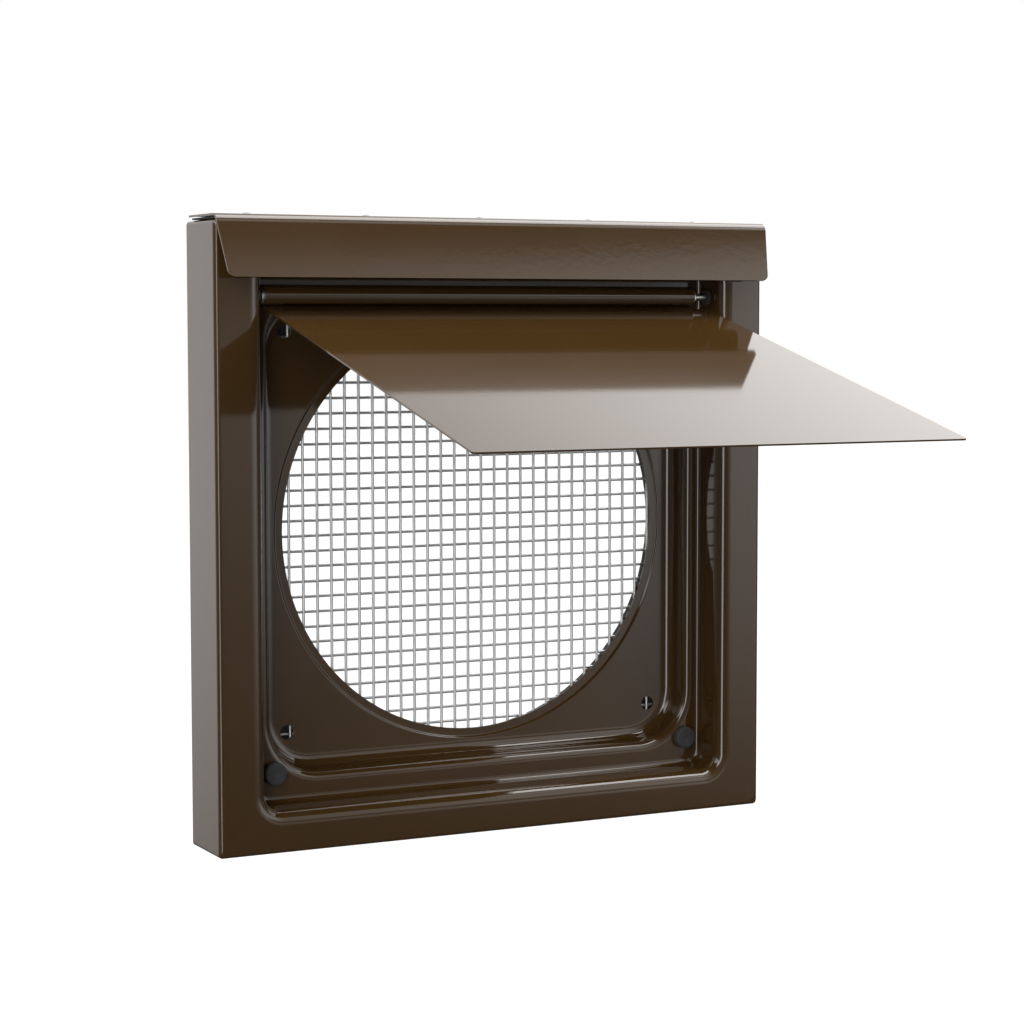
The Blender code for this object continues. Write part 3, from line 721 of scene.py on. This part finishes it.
class FoldHood(bpy.types.Operator):
    """Folds the rain hood with its leaning lip and rounded lower corners"""

    bl_idname = "vent.fold_hood"
    bl_label = "Fold the hood"

    def execute(self, context):
        s, at = settings()
        top = at.half_z + s.hood_gap + s.sheet
        front = at.flange_y - s.hood_standoff - s.sheet
        rear = at.flange_y + s.frame_depth - s.hood_rear
        lip = front - s.hood_lip
        foot = top - s.hood_drop
        path = round_path([[(rear, top), 0], [(front, top), s.hood_bend], [(lip, foot), 0]], 12)
        start = path[-2]
        slope = math.hypot(lip - start[0], foot - start[1])
        rows = [(-at.half_x, at.half_x, y, z) for y, z in path[:-1]]
        steps = 14
        for step in range(steps + 1):
            rise = s.hood_corner * (1 - math.sin(step / steps * math.pi / 2))
            share = rise / slope
            half = at.half_x - s.hood_trim * (1 - share)
            half -= s.hood_corner - math.sqrt(s.hood_corner ** 2 - (s.hood_corner - rise) ** 2)
            rows.append((-half, half, lip + (start[0] - lip) * share,
                         foot + (start[1] - foot) * share))
        tool = cutter("hood_cut", [(x, at.rivet_y, top) for x in at.rivets],
                      s.rivet_shank / 2 + s.play, s.hole_cut, "Z")

        def work(piece):
            solidify(piece, s.sheet)
            cut(piece, tool)
            soften(piece, 0.0002)

        bm = strip(rows[::-1])
        mesh = settled_mesh("rain_hood", mesh_from("rain_hood", bm), work, [tool])
        mesh = flat_faced(mesh)
        add_piece("rain_hood", mesh, finish("brown_enamel"), "hood")
        return {"FINISHED"}


class RollDamper(bpy.types.Operator):
    """Rolls the top edge of the flat blade into its knuckle and sets it open"""

    bl_idname = "vent.roll_damper"
    bl_label = "Roll the damper"

    def execute(self, context):
        s, at = settings()
        radius = s.knuckle / 2
        wrap = math.radians(300)
        turns = 56
        ends = (-s.knuckle_left, s.knuckle_right)
        rows = [(*ends, radius * math.cos(wrap * (1 - k / turns)),
                 radius * math.sin(wrap * (1 - k / turns))) for k in range(turns + 1)]
        rows.append((*ends, radius, s.blade_corner - s.blade_notch))
        rows.append((-s.blade_half, s.blade_half, radius, -s.blade_notch))
        steps = 8
        for step in range(steps + 1):
            angle = step / steps * math.pi / 2
            half = s.blade_half - s.blade_corner * (1 - math.cos(angle))
            rows.append((-half, half, radius,
                         s.blade_corner * (1 - math.sin(angle)) - s.blade_length))

        def work(piece):
            solidify(piece, s.blade_sheet)
            soften(piece, 0.0002)

        mesh = flat_faced(settled_mesh("damper", mesh_from("damper", strip(rows)), work))
        mesh.transform(Matrix.Translation(at.hinge) @ Matrix.Rotation(-s.open_angle, 4, "X"))
        add_piece("damper", mesh, finish("brown_enamel"), "damper_blade")
        return {"FINISHED"}


class WeldScreen(bpy.types.Operator):
    """Welds the wire screen: two layers of wire with a weld at every crossing"""

    bl_idname = "vent.weld_screen"
    bl_label = "Weld the screen"

    def execute(self, context):
        s = context.scene.vent_sizes
        group, sockets, tree = node_group("welded_wire", {
            "Wires": "NodeSocketInt", "Pitch": "NodeSocketFloat",
            "Wire radius": "NodeSocketFloat", "Material": "NodeSocketMaterial"})
        given = tree.add("NodeGroupInput")
        wires, pitch, radius = given["Wires"], given["Pitch"], given["Wire radius"]
        sheet = pitch * (wires - 1)
        wire = tree.add("GeometryNodeMeshCylinder", {}, {
            "Vertices": 10, "Radius": radius, "Depth": sheet + pitch * 0.35})["Mesh"]
        layers = []
        for axis, spin, push in ((0, (0, 0, 0), -1.0), (2, (0, math.pi / 2, 0), 1.0)):
            first = [0.0, 0.0, 0.0]
            step = [0.0, 0.0, 0.0]
            first[axis] = sheet * -0.5
            first[1] = radius * (push * 0.92)
            step[axis] = pitch
            start = tree.add("ShaderNodeCombineXYZ", {}, dict(enumerate(first)))["Vector"]
            stride = tree.add("ShaderNodeCombineXYZ", {}, dict(enumerate(step)))["Vector"]
            row = tree.add("GeometryNodeMeshLine", {"mode": "OFFSET"}, {
                "Count": wires, "Start Location": start, "Offset": stride})["Mesh"]
            layers.append(tree.add("GeometryNodeInstanceOnPoints", {}, {
                "Points": row, "Instance": wire, "Rotation": spin})["Instances"])
        grid = tree.add("GeometryNodeMeshGrid", {}, {
            "Size X": sheet, "Size Y": sheet, "Vertices X": wires, "Vertices Y": wires})["Mesh"]
        upright = tree.add("GeometryNodeTransform", {}, {
            "Geometry": grid, "Rotation": (math.pi / 2, 0, 0)})["Geometry"]
        bead = tree.add("GeometryNodeMeshIcoSphere", {}, {
            "Radius": radius * 1.22, "Subdivisions": 2})["Mesh"]
        layers.append(tree.add("GeometryNodeInstanceOnPoints", {}, {
            "Points": upright, "Instance": bead})["Instances"])
        joined = tree.add("GeometryNodeJoinGeometry")
        for layer in layers:
            tree.links.new(layer.socket, joined.node.inputs["Geometry"])
        real = tree.add("GeometryNodeRealizeInstances", {}, {"Geometry": joined["Geometry"]})
        smooth = tree.add("GeometryNodeSetShadeSmooth", {}, {"Geometry": real["Geometry"]})
        painted = tree.add("GeometryNodeSetMaterial", {}, {
            "Geometry": smooth["Geometry"], "Material": given["Material"]})["Geometry"]
        tree.add("NodeGroupOutput", {}, {"Mesh": painted})

        mesh = run_group("wire_screen", group, sockets, {
            "Wires": s.wire_count, "Pitch": s.wire_pitch, "Wire radius": s.wire / 2,
            "Material": finish("galvanised_wire")})
        middle = (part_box("screen_uprights")[0][1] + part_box("screen_cross_wires")[1][1]) / 2
        mesh.transform(Matrix.Translation((s.screen_x, middle, s.screen_z)))
        mesh.set_sharp_from_angle(angle=math.radians(50))
        add_piece("wire_screen", mesh, finish("galvanised_wire"), "screen_uprights",
                  "screen_cross_wires")
        return {"FINISHED"}


class SetRivets(bpy.types.Operator):
    """Sets the row of blind rivets through the top of the hood"""

    bl_idname = "vent.set_rivets"
    bl_label = "Set the rivets"

    def execute(self, context):
        s, at = settings()
        names = [f"hood_rivet_{k + 1}" for k in range(s.rivet_count)]
        low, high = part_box(names[0])
        seat = at.half_z + s.hood_gap + s.sheet
        shank = s.rivet_shank / 2
        head = s.rivet_head / 2
        dome = high[2] - seat
        tail = at.half_z - s.sheet
        profile = [(0, seat + dome * 0.45), (shank * 0.42, seat + dome * 0.45),
                   (shank * 0.52, seat + dome * 0.97)]
        profile += [(head * math.sin(k * math.pi / 20), seat + dome * math.cos(k * math.pi / 20))
                    for k in range(3, 11)]
        profile += [(head, seat), (shank, seat), (shank, tail)]
        # The shank's blind end bulges: how wide, and how far below the sheet
        bulge = ((1.35, 0.0006), (1.4, 0.0012), (1.1, 0.0019))
        profile += [(shank * wide, tail - deep) for wide, deep in bulge]
        profile += [(shank * 0.6, low[2]), (0, low[2])]
        group, sockets, tree = node_group("rivet_row", {
            "Rivet": "NodeSocketObject", "Rivets": "NodeSocketInt", "First": "NodeSocketVector",
            "Spacing": "NodeSocketFloat", "Material": "NodeSocketMaterial"})
        given = tree.add("NodeGroupInput")
        stride = tree.add("ShaderNodeCombineXYZ", {}, {"X": given["Spacing"]})["Vector"]
        row = tree.add("GeometryNodeMeshLine", {"mode": "OFFSET"}, {
            "Count": given["Rivets"], "Start Location": given["First"],
            "Offset": stride})["Mesh"]
        rivet = tree.add("GeometryNodeObjectInfo", {}, {"Object": given["Rivet"]})["Geometry"]
        placed = tree.add("GeometryNodeInstanceOnPoints", {}, {
            "Points": row, "Instance": rivet})["Instances"]
        real = tree.add("GeometryNodeRealizeInstances", {}, {"Geometry": placed})["Geometry"]
        painted = tree.add("GeometryNodeSetMaterial", {}, {
            "Geometry": real, "Material": given["Material"]})["Geometry"]
        tree.add("NodeGroupOutput", {}, {"Mesh": painted})
        model = new_object("rivet_model", turned("rivet_model", profile, 32, "Z"))
        mesh = run_group("hood_rivets", group, sockets, {
            "Rivet": model, "Rivets": s.rivet_count, "First": (at.rivets[0], at.rivet_y, 0.0),
            "Spacing": at.rivets[1] - at.rivets[0], "Material": finish("zinc_plate")}, [model])
        add_piece("hood_rivets", mesh, finish("zinc_plate"), *names)
        return {"FINISHED"}


class TurnHinge(bpy.types.Operator):
    """Turns the hinge rod and its bushes, and gives the retaining clips their finish"""

    bl_idname = "vent.turn_hinge"
    bl_label = "Turn the hinge"

    def execute(self, context):
        s, at = settings()
        radius = s.rod / 2
        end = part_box("hinge_rod")[1][0]
        near, far = (edge[0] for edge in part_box("rod_clip_right"))
        groove = radius - s.groove
        chamfer = s.groove
        half = [(0, end), (radius - chamfer, end), (radius, end - chamfer),
                (radius, far + s.play), (groove, far + s.play), (groove, near - s.play),
                (radius, near - s.play)]
        rod = turned("hinge_rod_bar", half + [(r, -x) for r, x in half[::-1]], 40, "X")
        rod.transform(Matrix.Translation(at.hinge))
        add_piece("hinge_rod_bar", rod, finish("zinc_plate"), "hinge_rod")
        for side, sign in SIDES.items():
            self.bush(s, at, f"wall_bush_{side}", sign, "black_nylon")
            self.bush(s, at, f"knuckle_bush_{side}", sign, "zinc_plate")
            dress(f"rod_clip_{side}", "zinc_plate")
        return {"FINISHED"}

    def bush(self, s, at, node, sign, material):
        """A flanged bush that fills the box of its CAD node."""
        low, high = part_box(node)
        reach = sorted(abs(edge[0]) for edge in (low, high))
        flange = (high[2] - low[2]) / 2
        bore = s.rod / 2 + s.bush_play
        edge = 0.0002
        if node.startswith("wall"):
            head, tail = (reach[0], reach[0] + s.wall_bush_rim), reach[1]
            sleeve = s.rod / 2 + s.bush_wall
        else:
            head, tail = (reach[1], reach[1] - s.knuckle_bush_rim), reach[0]
            sleeve = s.knuckle / 2 - s.blade_sheet - s.play
        out = 1 if head[0] > head[1] else -1
        profile = [(bore + edge, head[0]), (flange - edge, head[0]),
                   (flange - edge * 0.3, head[0] - out * edge * 0.3),
                   (flange, head[0] - out * edge), (flange, head[1]), (sleeve, head[1]),
                   (sleeve, tail + out * edge), (sleeve - edge, tail), (bore, tail),
                   (bore, head[0] - out * edge)]
        mesh = turned(node + "_turned", [(r, sign * x) for r, x in profile], 40, "X")
        mesh.transform(Matrix.Translation(at.hinge))
        add_piece(node + "_turned", mesh, finish(material), node)


class PushBumpers(bpy.types.Operator):
    """Pushes the two rubber bumpers into the shelf"""

    bl_idname = "vent.push_bumpers"
    bl_label = "Push in the bumpers"

    def execute(self, context):
        s, at = settings()
        for side in SIDES:
            node = f"bumper_{side}"
            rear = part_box(node)[1][1]
            centre = middle_of(node)
            shelf = at.flange_y + s.shelf_depth
            front = shelf - s.bumper_height
            head, neck = s.bumper / 2, s.bumper_neck / 2
            # A dimple in the front and a barb behind the sheet: radius, and how deep
            dimple = ((0, 0.0004), (0.0006, 0.00036), (0.0011, 0.00012), (0.0014, 0))
            barb = ((0.003, 0.0003), (0.0029, 0.0009))
            profile = [(radius, front + deep) for radius, deep in dimple]
            profile += [(head - s.bumper_edge * (1 - math.sin(k * math.pi / 16)),
                         front + s.bumper_edge * (1 - math.cos(k * math.pi / 16)))
                        for k in range(9)]
            seat = shelf - 0.0002
            profile += [(head, seat), (neck, seat), (neck, shelf + s.sheet)]
            profile += [(radius, shelf + s.sheet + deep) for radius, deep in barb]
            profile += [(0.0014, rear), (0, rear)]
            mesh = turned(node + "_button", profile, 48, "Y")
            mesh.transform(Matrix.Translation((centre.x, 0, centre.z)))
            add_piece(node + "_button", mesh, finish("black_rubber"), node)
        return {"FINISHED"}


class CutFoam(bpy.types.Operator):
    """Gives the foam wall gasket and the foam tape under the hood their black finish; the tape is
    a dark strip that paints the shade in the gap under the hood, and the gasket's black also
    paints the shade behind the screen
    """

    bl_idname = "vent.cut_foam"
    bl_label = "Cut the foam"

    def execute(self, context):
        # Black foam paints shade here: behind the screen on the gasket, and in the gap under the
        # hood on the tape
        dress("wall_gasket", "black_foam")
        dress("hood_seal", "black_foam")
        return {"FINISHED"}


def studio_light(tree, way):
    """Brightness of the studio in a direction: panels round the vent in a dim room.

    Angles are in degrees. Front counts from straight out of the wall towards the
    vent's right, back counts from straight into the wall towards the right.
    """
    parts = tree.add("ShaderNodeSeparateXYZ", {}, {"Vector": way})
    x, y, z = parts["X"], parts["Y"], parts["Z"]
    degree = math.degrees(1)
    front = x.maths("ARCTAN2", x, y * -1.0) * degree
    back = x.maths("ARCTAN2", x, y) * degree
    rise = z.maths("ARCSINE", z) * degree

    def up(value, low, high):
        return tree.add("ShaderNodeMapRange", {"interpolation_type": "SMOOTHSTEP"}, {
            "Value": value, "From Min": low, "From Max": high})["Result"]

    def down(value, low, high):
        return 1.0 - up(value, low, high)

    room = up(rise, -12.0, 0.0) * down(rise, 22.0, 30.0) * 0.16 + 0.12
    backdrop = (up(back, -62.0, -38.0) * down(back, 42.0, 62.0) * down(rise, 20.0, 45.0)
                * (up(rise, -30.0, -3.0) * 0.87 + 0.1))
    window = up(back, 22.0, 46.0) * down(back, 52.0, 62.0) * up(rise, 5.0, 18.0) * 1.5
    tilt = rise + front * 0.25
    shade = up(rise, -1.5, 1.5) * down(rise, 6.0, 10.0) * down(front, 30.0, 33.0)
    panel = (up(front, 10.0, 42.0) * down(front, 42.0, 66.0) * up(rise, -17.5, 1.5)
             * down(tilt, 37.8, 38.8) * (1.0 - shade) * 2.0)
    strip_light = (up(front, -44.0, -38.0) * down(front, -26.0, -20.0) * up(rise, -30.0, -15.0)
                   * down(rise, 30.0, 45.0) * 5.0)
    above = (up(tilt, 39.6, 41.2) * up(front, 5.0, 25.0) * down(front, 100.0, 125.0)
             * down(rise, 44.0, 52.0) * 1.7)
    spot = (up(front, 40.0, 46.0) * down(front, 60.0, 75.0) * up(rise, 32.0, 36.0)
            * down(rise, 42.0, 46.0) * 3.0)
    slant = rise + front * 0.6
    overhead = up(slant, 82.7, 83.9) * up(rise, 42.0, 49.0) * down(front, 110.0, 140.0) * 7.6
    ceiling = up(rise, 48.0, 58.0) * 1.2
    left = (up(front, -145.0, -125.0) * down(front, -45.0, -25.0) * up(rise, 12.0, 25.0)
            * down(rise, 50.0, 65.0) * 3.7)
    return (room + backdrop + window + panel + strip_light + above + spot + overhead + ceiling
            + left)


class SetStage(bpy.types.Operator):
    """Sets the floor, the soft light and the camera of the photograph"""

    bl_idname = "vent.set_stage"
    bl_label = "Set the stage"

    def execute(self, context):
        studio = context.scene.vent_studio
        finishes = context.scene.vent_finishes
        self.floor(studio, finishes)
        self.world()
        self.camera(studio)
        context.scene.view_settings.view_transform = "Standard"
        return {"FINISHED"}

    def floor(self, studio, finishes):
        bm = bmesh.new()
        bmesh.ops.create_grid(bm, x_segments=1, y_segments=1, size=12.0)
        mesh = mesh_from("studio_floor", bm)
        mesh.transform(Matrix.Translation((0, 0, CAD_BOX[0][2] - studio.floor_drop)))
        floor = new_object("studio_floor", mesh)
        material, tree, shader, place = start_finish("studio_floor")
        output = material.node_tree.nodes["Material Output"]
        set_sockets(tree, shader, {"Base Color": tuple(finishes.floor), "Roughness": 0.9})
        white = tree.add("ShaderNodeEmission", {}, {"Color": (1, 1, 1), "Strength": 1.0})
        lit = tree.add("ShaderNodeMixShader", {}, {0: 0.9})
        tree.links.new(shader.outputs["BSDF"], lit.node.inputs[1])
        tree.links.new(white["Emission"].socket, lit.node.inputs[2])
        way = tree.add("ShaderNodeVectorMath", {"operation": "NORMALIZE"}, {0: place})["Vector"]
        glow = tree.add("ShaderNodeEmission", {}, {
            "Color": studio_light(tree, way), "Strength": 1.0})
        seen = tree.add("ShaderNodeLightPath")["Is Camera Ray"]
        both = tree.add("ShaderNodeMixShader", {}, {0: seen})
        tree.links.new(glow["Emission"].socket, both.node.inputs[1])
        tree.links.new(lit["Shader"].socket, both.node.inputs[2])
        tree.links.new(both["Shader"].socket, output.inputs["Surface"])
        mesh.materials.append(material)

    def world(self):
        world = bpy.data.worlds.new("studio")
        bpy.context.scene.world = world
        world.use_nodes = True
        tree = Tree(world.node_tree.nodes, world.node_tree.links)
        seen = tree.add("ShaderNodeLightPath")["Is Camera Ray"]
        light = studio_light(tree, tree.add("ShaderNodeTexCoord")["Generated"])
        background = world.node_tree.nodes["Background"]
        tree.feed(background.inputs["Color"], seen + (1.0 - seen) * light)

    def camera(self, studio):
        data = bpy.data.cameras.new("photo_camera")
        data.lens = studio.lens
        data.sensor_width = 36.0
        data.clip_start = 0.01
        camera = new_object("photo_camera", data)
        camera.location = (studio.camera_x, studio.camera_y, studio.camera_z)
        turn = (Matrix.Rotation(-studio.azimuth, 4, "Z")
                @ Matrix.Rotation(math.pi / 2 - studio.pitch, 4, "X")
                @ Matrix.Rotation(studio.roll, 4, "Z"))
        camera.rotation_euler = turn.to_euler()
        bpy.context.scene.camera = camera


OPERATORS = (PressFrame, FoldHood, RollDamper, TurnHinge, SetRivets, PushBumpers, WeldScreen,
             CutFoam, SetStage)
GROUPS = {"vent_sizes": VentSizes, "vent_finishes": VentFinishes, "vent_studio": StudioSizes}


class VentPanel(bpy.types.Panel):
    """Lists the steps that make the vent"""

    bl_idname = "VIEW3D_PT_wall_vent"
    bl_label = "Wall vent"
    bl_space_type = "VIEW_3D"
    bl_region_type = "UI"
    bl_category = "Wall vent"

    def draw(self, context):
        for operator in OPERATORS:
            self.layout.operator(operator.bl_idname)


def register():
    for group in GROUPS.values():
        bpy.utils.register_class(group)
    for name, group in GROUPS.items():
        setattr(bpy.types.Scene, name, bpy.props.PointerProperty(type=group))
    for item in (*OPERATORS, VentPanel):
        bpy.utils.register_class(item)


def unregister():
    for item in (VentPanel, *reversed(OPERATORS)):
        bpy.utils.unregister_class(item)
    for name, group in GROUPS.items():
        delattr(bpy.types.Scene, name)
        bpy.utils.unregister_class(group)


def main():
    register()
    for operator in OPERATORS:
        getattr(bpy.ops.vent, operator.bl_idname.split(".")[1])()


if __name__ == "__main__":
    main()
